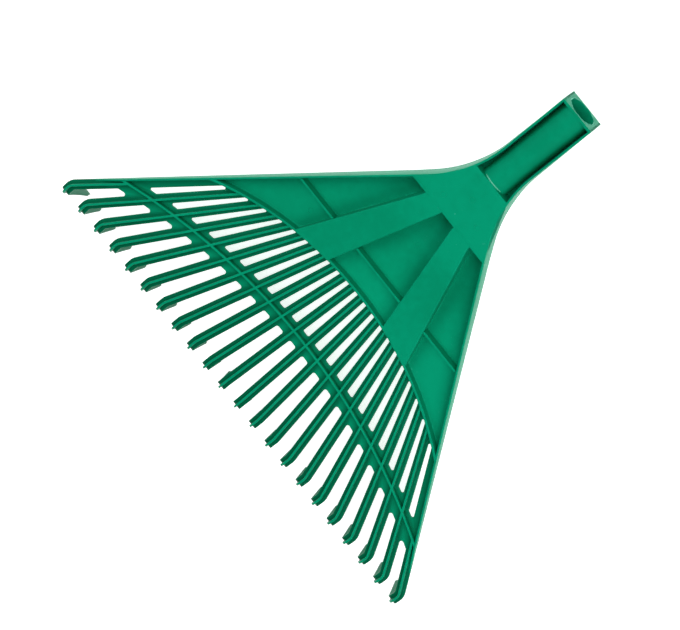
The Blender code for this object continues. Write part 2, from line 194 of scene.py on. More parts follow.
def ramp(tree, value, low, high):
    """The value taken from 0 at low to 1 at high, smoothly."""
    made = tree.nodes.new("ShaderNodeMapRange")
    made.interpolation_type = "SMOOTHSTEP"
    made.inputs["From Min"].default_value = low
    made.inputs["From Max"].default_value = high
    wire(tree, value, made.inputs["Value"])
    return made.outputs["Result"]


def maths(tree, operation, first, second):
    made = tree.nodes.new("ShaderNodeMath")
    made.operation = operation
    for socket, value in zip(made.inputs, (first, second)):
        if isinstance(value, float):
            socket.default_value = value
        else:
            wire(tree, value, socket)
    return made.outputs[0]


def moulded_surface():
    """The group of the plastic's surface: pigment mottle, pale scuffs and the height of the tool's grain."""
    tree = bpy.data.node_groups.new("moulded_surface", "ShaderNodeTree")
    tree.interface.new_socket("Scuffing", in_out="INPUT", socket_type="NodeSocketFloat")
    for label in ("Mottle", "Scuff", "Height"):
        tree.interface.new_socket(label, in_out="OUTPUT", socket_type="NodeSocketFloat")
    given = tree.nodes.new("NodeGroupInput")
    result = tree.nodes.new("NodeGroupOutput")
    place = tree.nodes.new("ShaderNodeTexCoord").outputs["Object"]
    broad = noise(tree, place, 14.0, 3.0)
    fine = noise(tree, place, 160.0, 2.0)
    mottle = maths(tree, "ADD", maths(tree, "MULTIPLY", broad, 0.7), maths(tree, "MULTIPLY", fine, 0.3))
    wire(tree, ramp(tree, mottle, 0.36, 0.64), result.inputs["Mottle"])

    stretched = tree.nodes.new("ShaderNodeMapping")
    stretched.inputs["Rotation"].default_value = (0.0, 0.0, math.radians(52))
    stretched.inputs["Scale"].default_value = (1.0, 9.0, 1.0)
    wire(tree, place, stretched.inputs["Vector"])
    scratches = ramp(tree, noise(tree, stretched.outputs["Vector"], 95.0, 4.0, 0.7), 0.66, 0.74)
    specks = ramp(tree, noise(tree, place, 420.0, 2.0), 0.70, 0.78)
    patches = ramp(tree, noise(tree, place, 22.0, 2.0), 0.52, 0.70)
    marks = maths(tree, "MULTIPLY", maths(tree, "MAXIMUM", scratches, specks), patches)
    scuff = maths(tree, "MULTIPLY", marks, given.outputs["Scuffing"])
    wire(tree, scuff, result.inputs["Scuff"])

    grain = noise(tree, place, 1500.0, 2.0)
    wire(tree, maths(tree, "ADD", maths(tree, "MULTIPLY", grain, 0.6), scuff), result.inputs["Height"])
    return tree


SURFACE = moulded_surface()


def plastic(name, light, deep, roughness, scuffing, painted_shade=None):
    """Principled plastic whose pigment, gloss and relief come from the surface group. Given a painted shade
    colour, it paints shade into the pigment beside the ribs, where the exposure attribute is low."""
    material = bpy.data.materials.new(name)
    material.use_nodes = True
    tree = material.node_tree
    shader = tree.nodes["Principled BSDF"]
    surface = tree.nodes.new("ShaderNodeGroup")
    surface.node_tree = SURFACE
    surface.inputs["Scuffing"].default_value = scuffing
    pigment = tree.nodes.new("ShaderNodeMix")
    pigment.data_type = "RGBA"
    pigment.inputs["A"].default_value = deep
    pigment.inputs["B"].default_value = light
    wire(tree, surface.outputs["Mottle"], pigment.inputs["Factor"])
    worn = tree.nodes.new("ShaderNodeMix")
    worn.data_type = "RGBA"
    worn.inputs["B"].default_value = SCUFF_GREEN
    wire(tree, surface.outputs["Scuff"], worn.inputs["Factor"])
    if painted_shade is None:
        wire(tree, pigment.outputs["Result"], worn.inputs["A"])
    else:
        # Painted shade: the pigment is mixed from the shade colour up to full green by the exposure
        # attribute.
        painted_shade_mix = tree.nodes.new("ShaderNodeMix")
        painted_shade_mix.data_type = "RGBA"
        painted_shade_mix.inputs["A"].default_value = painted_shade
        painted_exposure = tree.nodes.new("ShaderNodeAttribute")
        painted_exposure.attribute_name = "painted_exposure"
        wire(tree, painted_exposure.outputs["Fac"], painted_shade_mix.inputs["Factor"])
        wire(tree, pigment.outputs["Result"], painted_shade_mix.inputs["B"])
        wire(tree, painted_shade_mix.outputs["Result"], worn.inputs["A"])
    wire(tree, worn.outputs["Result"], shader.inputs["Base Color"])
    gloss = tree.nodes.new("ShaderNodeMapRange")
    gloss.inputs["To Min"].default_value = roughness
    gloss.inputs["To Max"].default_value = roughness + 0.2
    wire(tree, surface.outputs["Scuff"], gloss.inputs["Value"])
    wire(tree, gloss.outputs["Result"], shader.inputs["Roughness"])
    relief = tree.nodes.new("ShaderNodeBump")
    relief.inputs["Strength"].default_value = 0.25
    relief.inputs["Distance"].default_value = 0.0001
    wire(tree, surface.outputs["Height"], relief.inputs["Height"])
    wire(tree, relief.outputs["Normal"], shader.inputs["Normal"])
    shader.inputs["Specular IOR Level"].default_value = 0.3
    shader.inputs["Specular Tint"].default_value = SHEEN_GREEN
    return material


deck_plastic = plastic("deck_plastic", DECK_GREEN, DECK_GREEN_DEEP, 0.44, 0.8)
tine_plastic = plastic("tine_plastic", TINE_GREEN, TINE_GREEN_DEEP, 0.42, 0.5, TINE_GREEN_PAINTED_SHADE)
burr_and_highlight_plastic = plastic("burr_and_highlight_plastic", BURR_AND_HIGHLIGHT_WHITE, SCUFF_GREEN, 0.6, 0.3)

# --------------------------------------------------------------------------------------------------
# Rims. One tapered side wall on each side runs from the last tine round the neck and on as the socket's
# cheek. Its outside leans a little, so that the moulding leaves the tool, and its top edge is rounded.

HUB_HEIGHT = 0.0175
HUB_EDGE = 0.0497
WALL = 0.0017
RIM_OFFSET = 0.0040
RIM_DRAFT = 0.045
RIM_ROUND = 0.0005
RIM_PROUD = 0.0001
NECK_RADIUS = 0.095
SOCKET_RISE = math.radians(9)
SOCKET_FROM = 0.0077
SOCKET_WIDTH = 0.0298
SOCKET_HEIGHT = 0.0244
SOCKET_LENGTH = 0.0816
NECK_BOTTOM = HUB_HEIGHT - SOCKET_HEIGHT / math.cos(SOCKET_RISE)
NECK_CORNER = (RIM_OFFSET - SOCKET_WIDTH / 2 * math.cos(outer_angle)) / math.sin(outer_angle)
NECK_END = NECK_CORNER + NECK_RADIUS * math.tan(outer_angle / 2)
SOCKET_END = SOCKET_LENGTH * math.cos(SOCKET_RISE) - SOCKET_FROM
TIE_INNER = 0.0041
TIE_OUTER = 0.0102
ROOT_LENGTH = 0.0022


def arc_through(middle, rise, half_chord):
    """Radius and centre height of a circle whose near side bulges to the handle, through middle and chord."""
    radius = (half_chord**2 + rise**2) / (2 * rise)
    return radius, -middle - radius


deck_arc = arc_through(0.1437, 0.035, 0.135)
tie_arc = arc_through(0.2073, 0.0345, 0.1825)


def arc_y(arc, x, offset=0.0):
    """Y on the arc grown by offset: centre plus the root of radius squared less x squared."""
    return arc[1] + np.sqrt((arc[0] + offset) ** 2 - x**2)


def on_ray(angle, sideways, run):
    """X and Y at a run along a tine's ray, moved sideways across it."""
    x = np.sin(angle) * run + np.cos(angle) * sideways
    y = -np.cos(angle) * run + np.sin(angle) * sideways
    return x, y


def run_to(arc, angle, sideways=0.0, offset=0.0):
    """How far along a ray the grown arc lies: the nearer root of the ray and circle's quadratic."""
    x, y = on_ray(angle, sideways, 0.0)
    toward = np.sin(angle) * x - np.cos(angle) * (y - arc[1])
    outside = x**2 + (y - arc[1]) ** 2 - (arc[0] + offset) ** 2
    return -toward - np.sqrt(toward**2 - outside)


ROOT_LINE = -TIE_OUTER - ROOT_LENGTH
RIM_AT_TIE = on_ray(outer_angle, RIM_OFFSET, run_to(tie_arc, outer_angle, RIM_OFFSET))[1]
RIM_TIP = on_ray(outer_angle, RIM_OFFSET, run_to(tie_arc, outer_angle, RIM_OFFSET, ROOT_LINE))[1]


def rim_x(y, inward=0.0):
    """Half width of the head: the rim's straight line, then the neck's circle, then the socket's side."""
    radius = NECK_RADIUS + inward
    straight = (RIM_OFFSET - inward - y * math.sin(outer_angle)) / math.cos(outer_angle)
    back = np.clip(NECK_END - y, 0, radius * math.sin(outer_angle))
    neck = SOCKET_WIDTH / 2 + NECK_RADIUS - np.sqrt(radius**2 - back**2)
    return np.where(NECK_END - y > radius * math.sin(outer_angle), straight, neck)


def rim_top(y):
    """Height of the rim: up along the last tine to the hub, level beside it, then up the socket's slope."""
    knots_y = (RIM_TIP, RIM_AT_TIE, -HUB_EDGE, -SOCKET_FROM, SOCKET_END)
    end = HUB_HEIGHT + (SOCKET_END + SOCKET_FROM) * math.tan(SOCKET_RISE)
    return np.interp(y, knots_y, (SHEET, SHEET + RIB_HEIGHT, HUB_HEIGHT, HUB_HEIGHT, end))


def rim_foot(y):
    """Height of the rim's lower edge: the sheet's underside, falling over the hub to the socket's."""
    knots_y = (-HUB_EDGE, -SOCKET_FROM, SOCKET_END)
    end = NECK_BOTTOM + (SOCKET_END + SOCKET_FROM) * math.tan(SOCKET_RISE)
    return np.interp(y, knots_y, (0.0, NECK_BOTTOM, end))


def wall_profile(width, low, high, rounding):
    """Rounded rectangles, one for each station: inward from 0 to width, height from low to high."""
    flat, tall = [], []
    for start, wide, up in ((180, 0, 0), (270, 1, 0), (0, 1, 1), (90, 0, 1)):
        angle = np.radians(start + np.array([0, 30, 60, 90]))
        flat.append(rounding + wide * (width - 2 * rounding) + rounding * np.cos(angle))
        tall.append(rounding + up * (high - low - 2 * rounding)[:, None] + rounding * np.sin(angle))
    inward = np.broadcast_to(np.concatenate(flat), (len(low), 16))
    return inward, low[:, None] + np.concatenate(tall, axis=1)


def rim(side):
    """The wall's profile carried along the head's edge, its last stations leaning to the socket's end."""
    edge_stops = (RIM_TIP, 5), (RIM_AT_TIE, 10), (-HUB_EDGE, 14), (-SOCKET_FROM, 12), (NECK_END, 6)
    y = spread(*edge_stops, (SOCKET_END, 0))
    high = np.maximum(rim_top(y), SHEET + RIM_PROUD)
    inward, z = wall_profile(WALL, rim_foot(y), high, RIM_ROUND)
    lean = np.clip((y - NECK_END) / (SOCKET_END - NECK_END), 0, 1)[:, None]
    depth = high[:, None] - z
    along = y[:, None] + lean * depth * math.cos(SOCKET_RISE) * math.sin(SOCKET_RISE)
    drafted = RIM_DRAFT * depth * (1 - inward / WALL) * (1 - lean)
    x = rim_x(y[:, None], inward) + drafted
    rise = (along - y[:, None]) * math.tan(SOCKET_RISE)
    return skin(on_fan(side * x, along, z + rise))


for side, name in ((-1, "left"), (1, "right")):
    wall = piece(f"rim_wall_{name}", [rim(side)], deck_plastic)
    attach(wall, "frame")
    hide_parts(f"rim_{name}", f"socket_cheek_{name}")

# --------------------------------------------------------------------------------------------------
# Hub. A raised plate between the rims, hollow below, with a wall down to the panels and one that closes
# the socket's bore. Its edge over the panels is crisp, its edge over the socket rounded.

HUB_ROUND = 0.0004
HUB_PROUD = 0.00002
HUB_CREASE = 0.0001
WALL_CLEAR = 0.0002


def hub_skin():
    """An inverted channel's profile in Y and Z, carried from rim to rim on x = share times the half width."""
    front, back = -HUB_EDGE, -SOCKET_FROM
    top_y = np.linspace(front + HUB_ROUND, back - HUB_ROUND, 14)
    under_y = np.linspace(back - WALL, front + WALL, 14)
    edge_y, edge_z = quarter(back - HUB_ROUND, HUB_HEIGHT - HUB_ROUND, HUB_ROUND, 90, turn=-90)
    y = np.concatenate([[front, front], top_y, edge_y[1:], [back], under_y[:1], under_y, under_y[-1:]])
    top_z = np.full(len(top_y), HUB_HEIGHT)
    under_z = np.full(len(under_y), HUB_HEIGHT - SHEET)
    foot = NECK_BOTTOM + WALL_CLEAR
    z = np.concatenate([[0.0, HUB_HEIGHT - HUB_CREASE], top_z, edge_z[1:], [foot, foot], under_z, [0.0]])
    share = np.linspace(-1, 1, 21)[:, None]
    reach = np.where(z > HUB_HEIGHT - SHEET / 2, RIM_ROUND, WALL / 2)
    return skin(on_fan(share * rim_x(y, reach), y, z + HUB_PROUD * (z == HUB_HEIGHT)))


hub = piece("hub", [hub_skin()], deck_plastic)
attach(hub, "frame")
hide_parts("hub_plate")

# --------------------------------------------------------------------------------------------------
# Socket. A thin barrel for the handle's end hangs between the two cheeks on a web at each side. A square
# plate closes the cheeks, with the bore through it. Flash stands round the bore and where the barrel
# meets the hub; its whitish colour is a whitish burr at the bore and a painted highlight at the hub.

BORE_RADIUS = 0.0112
BARREL_RADIUS = 0.0122
END_PLATE = 0.0020
WEB_DEPTH = 0.0130
PLATE_EDGE = 0.0004
BARREL_IN_HUB = 0.0003
BARREL_IN_PLATE = 0.0014
WEB_IN_HUB = 0.0030
WEB_IN_BARREL = 0.0015
FLASH = 0.00028
FLASH_OFF_HUB = 0.0010
FLASH_OFF_BORE = 0.0002
FLASH_WANDER = 0.00015
FLASH_PROUD = 0.00005
BEAD_SIDES = 6


def on_socket(x, y, z):
    """World points of the socket: y along its axis from the hub, z up from its top, tilted by its rise."""
    cosine, sine = math.cos(SOCKET_RISE), math.sin(SOCKET_RISE)
    return on_fan(x, y * cosine - z * sine - SOCKET_FROM, y * sine + z * cosine + HUB_HEIGHT)


def barrel():
    """A tube: radius by angle round the axis; its hub end follows the hub's upright wall, y = z tan rise."""
    turned = np.linspace(0, 2 * math.pi, 96, endpoint=False)[:, None]
    inside = SOCKET_LENGTH - END_PLATE + BARREL_IN_PLATE
    share = np.concatenate([np.linspace(0, 1, 12), np.linspace(1, 0, 12)])
    radius = np.concatenate([np.full(12, BARREL_RADIUS), np.full(12, BORE_RADIUS)])
    x = radius * np.cos(turned)
    z = radius * np.sin(turned) - SOCKET_HEIGHT / 2
    start = z * math.tan(SOCKET_RISE) - BARREL_IN_HUB
    y = start + share * (inside - start)
    return skin(on_socket(x, y, z), ring=True)


def square_round(turned, half_width, half_height, power=14.0):
    """A rounded rectangle by angle: the superellipse of a high power."""
    cosine, sine = np.cos(turned), np.sin(turned)
    run = (np.abs(cosine / half_width) ** power + np.abs(sine / half_height) ** power) ** (-1 / power)
    return run * cosine, run * sine


def end_plate():
    """Rings from the bore's wall over the end face to the plate's edge and back, round the bore's axis."""
    corner = math.atan2(SOCKET_HEIGHT, SOCKET_WIDTH)
    quarter_turn = spread((0.0, 8), (corner - 0.09, 10), (corner + 0.09, 8), (math.pi / 2, 0))[:-1]
    half_turn = np.concatenate([quarter_turn, math.pi - quarter_turn[::-1]])
    turned = np.concatenate([half_turn, math.pi + half_turn]).round(9) % (2 * math.pi)
    turned = np.unique(turned)[:, None]
    outer_x, outer_z = square_round(turned, SOCKET_WIDTH / 2, SOCKET_HEIGHT / 2)
    bore_x, bore_z = BORE_RADIUS * np.cos(turned), BORE_RADIUS * np.sin(turned)
    share = np.array([0.0, 0.0, 0.02, 0.08, 0.5, 0.95, 0.99, 1.0, 1.0, 0.97])
    edge = PLATE_EDGE
    behind = [END_PLATE, edge, edge / 3, 0, 0, 0, edge / 3, edge, END_PLATE - edge, END_PLATE]
    y = SOCKET_LENGTH - np.array(behind)
    x = bore_x + (outer_x - bore_x) * share
    z = bore_z + (outer_z - bore_z) * share - SOCKET_HEIGHT / 2
    return skin(on_socket(x, y, z), ring=True)


def side_web(side):
    """A flat web from the barrel to the cheek, as wide as the neck leaves room."""
    y = np.linspace(-WEB_IN_HUB, SOCKET_LENGTH - END_PLATE / 2, 30)[:, None]
    fan_y = y * math.cos(SOCKET_RISE) + WEB_DEPTH * math.sin(SOCKET_RISE) - SOCKET_FROM
    inner = BARREL_RADIUS - WEB_IN_BARREL
    share = np.linspace(0, 1, 6)
    x = side * (inner + share * (rim_x(fan_y, WALL / 2) - inner))
    return plate(on_socket(x, y, -WEB_DEPTH), on_socket(x, y, -WEB_DEPTH - WALL))


def bead(line, thickness):
    """A thin round bead along a line of world points: a circle in the plane across each stretch."""
    along = np.gradient(line, axis=0)
    along /= np.linalg.norm(along, axis=1)[:, None]
    first = np.cross(along, out)
    first /= np.linalg.norm(first, axis=1)[:, None]
    second = np.cross(along, first)
    turned = np.linspace(0, 2 * math.pi, BEAD_SIDES, endpoint=False)[:, None]
    radius = np.broadcast_to(thickness, len(line))[:, None, None]
    offsets = np.cos(turned) * first[:, None, :] + np.sin(turned) * second[:, None, :]
    return line[:, None, :] + radius * offsets


def mouth_flash():
    """A ragged bead round the bore's mouth; its thickness swings with a few waves of the angle."""
    turned = np.linspace(0, 2 * math.pi, 120, endpoint=False)
    radius = BORE_RADIUS + FLASH_OFF_BORE + FLASH_WANDER * np.sin(9 * turned + 1.0)
    x, z = radius * np.cos(turned), radius * np.sin(turned) - SOCKET_HEIGHT / 2
    ragged = FLASH * (0.85 + 0.5 * np.sin(5 * turned) * np.sin(13 * turned + 0.6))
    line = on_socket(x, np.full(len(x), SOCKET_LENGTH), z)
    offsets = np.stack([np.cos(turned), np.sin(turned)])
    around = np.linspace(0, 2 * math.pi, BEAD_SIDES, endpoint=False)[:, None]
    radial = on_socket(offsets[0], 0.0, offsets[1]) - on_socket(0.0, 0.0, 0.0)
    axial = on_socket(0.0, 1.0, 0.0) - on_socket(0.0, 0.0, 0.0)
    ring = np.cos(around) * radial[:, None, :] + np.sin(around) * axial
    return skin(line[:, None, :] + ragged[:, None, None] * ring, ring=True)


def barrel_flash():
    """A fine bead over the top of the barrel, where it runs into the hub's wall; its whitish colour is a
    painted highlight along that edge.
    """
    turned = np.linspace(math.radians(48), math.radians(132), 40)
    radius = BARREL_RADIUS + FLASH_PROUD
    z = radius * np.sin(turned) - SOCKET_HEIGHT / 2
    y = z * math.tan(SOCKET_RISE) + FLASH_OFF_HUB
    thickness = 1.5 * FLASH * np.sin(np.linspace(0, math.pi, 40)) ** 0.4
    return skin(bead(on_socket(radius * np.cos(turned), y, z), thickness))


socket = piece("socket_tube", [barrel(), side_web(-1), side_web(1)], deck_plastic)
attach(socket, "frame")
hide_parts("socket_barrel")

mouth = piece("socket_mouth_plate", [end_plate()], deck_plastic)
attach(mouth, "frame")
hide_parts("socket_end_plate")

flash = piece("socket_flash", [mouth_flash(), barrel_flash()], burr_and_highlight_plastic)
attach(flash, "frame")

# --------------------------------------------------------------------------------------------------
# Deck wall. An upright wall along an arc from rim to rim closes the deck and carries the tines' inner ends.

DECK_ARC_HEIGHT = 0.010
DECK_WALL = 0.0020
DECK_WALL_FOOT = 0.0008
DECK_WALL_CREST = 0.0003
SUNK = 0.0004
DECK_STEPS = 72


def filleted_wall(width, height, foot, crest, base):
    """Profile of an upright wall or rib, open fillets at its foot: sideways and height, anticlockwise."""
    half = width / 2
    right_foot = quarter(half + foot, base + foot, foot, 270, turn=-90)
    right_crest = quarter(half - crest, height - crest, crest, 0)
    left_crest = quarter(crest - half, height - crest, crest, 90)
    left_foot = quarter(-half - foot, base + foot, foot, 0, turn=-90)
    sunk = base - SUNK
    arcs = (right_foot, right_crest, left_crest, left_foot)
    x = np.concatenate([[half + foot], *[arc[0] for arc in arcs], [-half - foot]])
    z = np.concatenate([[sunk], *[arc[1] for arc in arcs], [sunk]])
    return x, z


def along_arc(arc, profile, inward):
    """A profile carried along an arc from rim to rim: its sideways is the offset from the arc."""
    offset, z = profile
    sideways = RIM_OFFSET - inward
    end = on_ray(outer_angle, sideways, run_to(arc, outer_angle, sideways, offset))[0]
    x = np.linspace(-1, 1, DECK_STEPS)[:, None] * end
    return skin(on_fan(x, arc_y(arc, x, offset), z))


deck_profile = filleted_wall(DECK_WALL, DECK_ARC_HEIGHT, DECK_WALL_FOOT, DECK_WALL_CREST, SHEET)
deck_wall = piece("deck_wall", [along_arc(deck_arc, deck_profile, WALL / 2)], deck_plastic)
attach(deck_wall, "frame")
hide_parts("deck_arc_rib")

# --------------------------------------------------------------------------------------------------
# Spokes. Two raised arms, channels open below, run from the hub down to the deck wall and stiffen the
# deck.

SPOKE_AT_HUB = (0.0065, 0.0249)
SPOKE_AT_DECK = (0.0325, 0.0666)
SPOKE_DRAFT = 0.04
SPOKE_ROUND = 0.0006
SPOKE_BELOW_HUB = 0.00004
SPOKE_IN_HUB = 0.0015
SPOKE_TIP = float(arc_y(deck_arc, sum(SPOKE_AT_DECK) / 2))


def spoke_x(edge, y):
    """X of a spoke's edge line, inner 0 or outer 1, at this Y: straight from hub to deck wall."""
    tip = arc_y(deck_arc, SPOKE_AT_DECK[edge])
    return np.interp(-y, (HUB_EDGE, -tip), (SPOKE_AT_HUB[edge], SPOKE_AT_DECK[edge]))


def spoke_top(y):
    """Height of a spoke's top: from just below the hub's down to the deck wall's."""
    return np.interp(-y, (HUB_EDGE, -SPOKE_TIP), (HUB_HEIGHT, DECK_ARC_HEIGHT)) - SPOKE_BELOW_HUB


def spoke(side):
    """A channel profile between the spoke's edge lines, carried down its length to the deck wall's arc. Each
    point has a share from the inner to the outer line, an inset from there and a fall below the top, and a
    fall of 1 stands for the foot."""
    drop_x, drop_z = quarter(0.0, 0.0, SPOKE_ROUND, 90, turn=90)
    corner_in = drop_x + SPOKE_ROUND
    corner_down = SPOKE_ROUND - drop_z
    inner, outer = np.zeros(len(drop_x)), np.ones(len(drop_x))
    middle = np.linspace(0.1, 0.9, 9)
    flat = np.zeros(len(middle))
    share = np.concatenate([[0], inner, middle, outer, [1, 1, 1], 1 - middle, [0, 0]])
    inset = np.concatenate([[0], corner_in[::-1], flat, -corner_in, [0, -WALL, -WALL], flat, [WALL, WALL]])
    under = flat + SHEET
    fall = np.concatenate([[1], corner_down[::-1], flat, corner_down, [1, 1, SHEET], under, [SHEET, 1]])
    start = -HUB_EDGE + SPOKE_IN_HUB
    station = np.linspace(0, 1, 24)[:, None]
    y = start + station * (SPOKE_TIP - start)
    x = spoke_x(0, y) + share * (spoke_x(1, y) - spoke_x(0, y))
    y = start + station * (arc_y(deck_arc, x) - start)
    x = spoke_x(0, y) + share * (spoke_x(1, y) - spoke_x(0, y)) + inset
    top = spoke_top(y)
    z = np.where(fall == 1, WALL_CLEAR, top - fall)
    x = x + np.sign(share - 0.5) * (np.abs(share - 0.5) == 0.5) * SPOKE_DRAFT * (top - z)
    return skin(on_fan(side * x, y, z))


for side, name in ((-1, "left"), (1, "right")):
    arm = piece(f"spoke_arm_{name}", [spoke(side)], deck_plastic)
    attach(arm, "frame")
    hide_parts(f"spoke_{name}")

# --------------------------------------------------------------------------------------------------
# Panels. Recessed sheets fill the deck between rims and spokes, filleted up into the walls round them. A
# rib nearly as high as the spokes runs straight across each.

PANEL_FILLET = 0.0005
PANEL_TUCK = 0.0007
CROSS_RIB_AT = 0.1215
CROSS_RIB_HEIGHT = 0.0090
CROSS_RIB_FOOT = 0.0006
CROSS_RIB_CREST = 0.0002


def panel_edges(which, y):
    """Left and right faces of the walls beside a panel, -1, 0 or 1 from the left, at this Y."""
    lean = SPOKE_DRAFT * (spoke_top(y) - SHEET)
    if which == 0:
        inner = spoke_x(0, y) - lean
        return -inner, inner
    near, far = spoke_x(1, y) + lean, rim_x(y, WALL)
    return (near, far) if which > 0 else (-far, -near)


def panel(which):
    """A sheet on a grid that closes up towards its edges, its top raised there by a quarter circle. Its
    outer edges follow walls and arc, which depend on each other and settle in three rounds."""
    ease = np.sin(np.linspace(-math.pi / 2, math.pi / 2, 40)) / 2 + 0.5
    share, station = ease, ease[:, None]
    start = -HUB_EDGE + PANEL_TUCK
    left, right = panel_edges(which, -CROSS_RIB_AT + 0 * station)
    x = left + share * (right - left)
    for _ in range(3):
        y = start + station * (arc_y(deck_arc, x, DECK_WALL / 2 - PANEL_TUCK) - start)
        left, right = panel_edges(which, y)
        x = left - PANEL_TUCK + share * (right - left + 2 * PANEL_TUCK)
    gaps = (x - left, right - x, -HUB_EDGE - y, y - arc_y(deck_arc, x, DECK_WALL / 2))
    nearest = np.clip(np.minimum.reduce(gaps), 0, PANEL_FILLET)
    raised = PANEL_FILLET - np.sqrt(PANEL_FILLET**2 - (PANEL_FILLET - nearest) ** 2)
    return plate(on_fan(x, y, SHEET + raised), on_fan(x, y, 0 * x))


def cross_rib(which):
    """A rib's profile carried straight across a panel."""
    left, right = panel_edges(which, np.array(-CROSS_RIB_AT))
    offset, z = filleted_wall(RIB_WIDTH, SHEET + CROSS_RIB_HEIGHT, CROSS_RIB_FOOT, CROSS_RIB_CREST, SHEET)
    x = np.linspace(left - SUNK, right + SUNK, 12)[:, None]
    return skin(on_fan(x, -CROSS_RIB_AT + offset, z))


for which, name in ((-1, "left"), (0, "centre"), (1, "right")):
    filled = piece(f"panel_sheet_{name}", [panel(which), cross_rib(which)], deck_plastic)
    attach(filled, "frame")
    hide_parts(f"panel_{name}", f"cross_rib_{name}")

# --------------------------------------------------------------------------------------------------
# Web. Between deck wall and tine roots a sheet with a slot between each two tines, closed at both ends,
# and beyond the tie band the beginning of the open slots. Slot corners and edges are rounded.

SLOT_FROM_DECK = 0.0034
SLOT_CORNER = 0.0013
OPEN_SLOT_CORNER = 0.0018
OPEN_SLOT_FROM_TIE = 0.0096
SHADE_REACH = 0.0052
SHEET_ROUND = 0.0005
UNDER_ROUND = 0.0003
CORNER_STEPS = 5
EDGE_STEPS = 6


def corner_arcs(corners, radius):
    """Each corner of a closed outline replaced by points of a circle that touches both its edges."""
    back = np.roll(corners, 1, axis=0) - corners
    ahead = np.roll(corners, -1, axis=0) - corners
    back /= np.linalg.norm(back, axis=1)[:, None]
    ahead /= np.linalg.norm(ahead, axis=1)[:, None]
    half = np.arccos(np.clip((back * ahead).sum(axis=1), -1, 1)) / 2
    bisector = back + ahead
    bisector /= np.linalg.norm(bisector, axis=1)[:, None]
    middle = corners + bisector * (radius / np.sin(half))[:, None]
    start = corners + back * (radius / np.tan(half))[:, None] - middle
    side = np.sign(back[:, 0] * ahead[:, 1] - back[:, 1] * ahead[:, 0])
    turn = -side * (math.pi - 2 * half)
    share = np.linspace(0, 1, CORNER_STEPS)
    angle = np.arctan2(start[:, 1], start[:, 0])[:, None] + turn[:, None] * share
    return middle[:, None, :] + radius * np.stack([np.cos(angle), np.sin(angle)], axis=-1)


def with_edges(arcs, steps, closed):
    """The corner points with evenly spaced points between them along the edges."""
    rows = []
    count = len(arcs)
    for k in range(count):
        rows.append(arcs[k])
        if k + 1 < count or closed:
            following = arcs[(k + 1) % count][0]
            share = np.linspace(0, 1, steps + 1)[1:-1, None]
            rows.append(arcs[k][-1] + share * (following - arcs[k][-1]))
    return np.concatenate(rows)


def slot_rings(slot, cell):
    """Round a slot, the section of the sheet beside it: underside, rounded edges of the slot's wall, top."""
    towards = cell - slot
    towards /= np.linalg.norm(towards, axis=1)[:, None]
    plan = [cell, slot + towards * UNDER_ROUND]
    height = [0.0, 0.0]
    for angle in np.radians((45, 90)):
        plan.append(slot + towards * UNDER_ROUND * (1 - math.sin(angle)))
        height.append(UNDER_ROUND * (1 - math.cos(angle)))
    for angle in np.radians((0, 30, 60, 90)):
        plan.append(slot + towards * SHEET_ROUND * (1 - math.cos(angle)))
        height.append(SHEET - SHEET_ROUND * (1 - math.sin(angle)))
    plan.append(cell)
    height.append(SHEET)
    plan = np.stack(plan, axis=1)
    return on_fan(plan[..., 0], plan[..., 1], np.array(height))


def at(angle, sideways, arc, offset):
    """X and Y where a tine's ray, moved sideways, meets the grown arc."""
    return np.array(on_ray(angle, sideways, run_to(arc, angle, sideways, offset)))


def web_cell(index):
    """The sheet between two tines: a ring round the closed slot and a strip round the open one's end. The
    outermost cells reach on under the rims."""
    first, second = tine_angle[index], tine_angle[index + 1]
    half = FLANGE_WIDTH / 2
    deck_half = STEM_WIDTH_AT_DECK / 2
    left = -half if index == 0 else 0.0
    right = half if index == TINES - 2 else 0.0

    end_line = deck_arc, -SLOT_FROM_DECK
    slot_deck = [at(first, deck_half, *end_line), at(second, -deck_half, *end_line)]
    slot_tie = [at(second, -half, tie_arc, TIE_INNER), at(first, half, tie_arc, TIE_INNER)]
    cell_deck = [at(first, left, deck_arc, 0), at(second, right, deck_arc, 0)]
    cell_tie = [at(second, right, tie_arc, 0), at(first, left, tie_arc, 0)]
    slot_arcs = corner_arcs(np.array(slot_deck + slot_tie), SLOT_CORNER)
    cell_arcs = np.repeat(np.array(cell_deck + cell_tie)[:, None, :], CORNER_STEPS, axis=1)
    closed_slot = slot_rings(with_edges(slot_arcs, EDGE_STEPS, True), with_edges(cell_arcs, EDGE_STEPS, True))

    mouth_first, mouth_second = at(first, half, tie_arc, ROOT_LINE), at(second, -half, tie_arc, ROOT_LINE)
    end_first = at(first, half, tie_arc, -OPEN_SLOT_FROM_TIE)
    end_second = at(second, -half, tie_arc, -OPEN_SLOT_FROM_TIE)
    open_arcs = corner_arcs(np.array([mouth_first, end_first, end_second, mouth_second]), OPEN_SLOT_CORNER)
    open_arcs[0] = mouth_first
    open_arcs[3] = mouth_second
    cell_mouth = [at(first, left, tie_arc, ROOT_LINE), at(second, right, tie_arc, ROOT_LINE)]
    open_cell = np.array([cell_mouth[0], cell_tie[1], cell_tie[0], cell_mouth[1]])
    cell_arcs = np.repeat(open_cell[:, None, :], CORNER_STEPS, axis=1)
    strip = slot_rings(with_edges(open_arcs, EDGE_STEPS, False), with_edges(cell_arcs, EDGE_STEPS, False))
    trim = CORNER_STEPS - 1
    return [skin(closed_slot, ring=True), skin(strip[trim:-trim])]


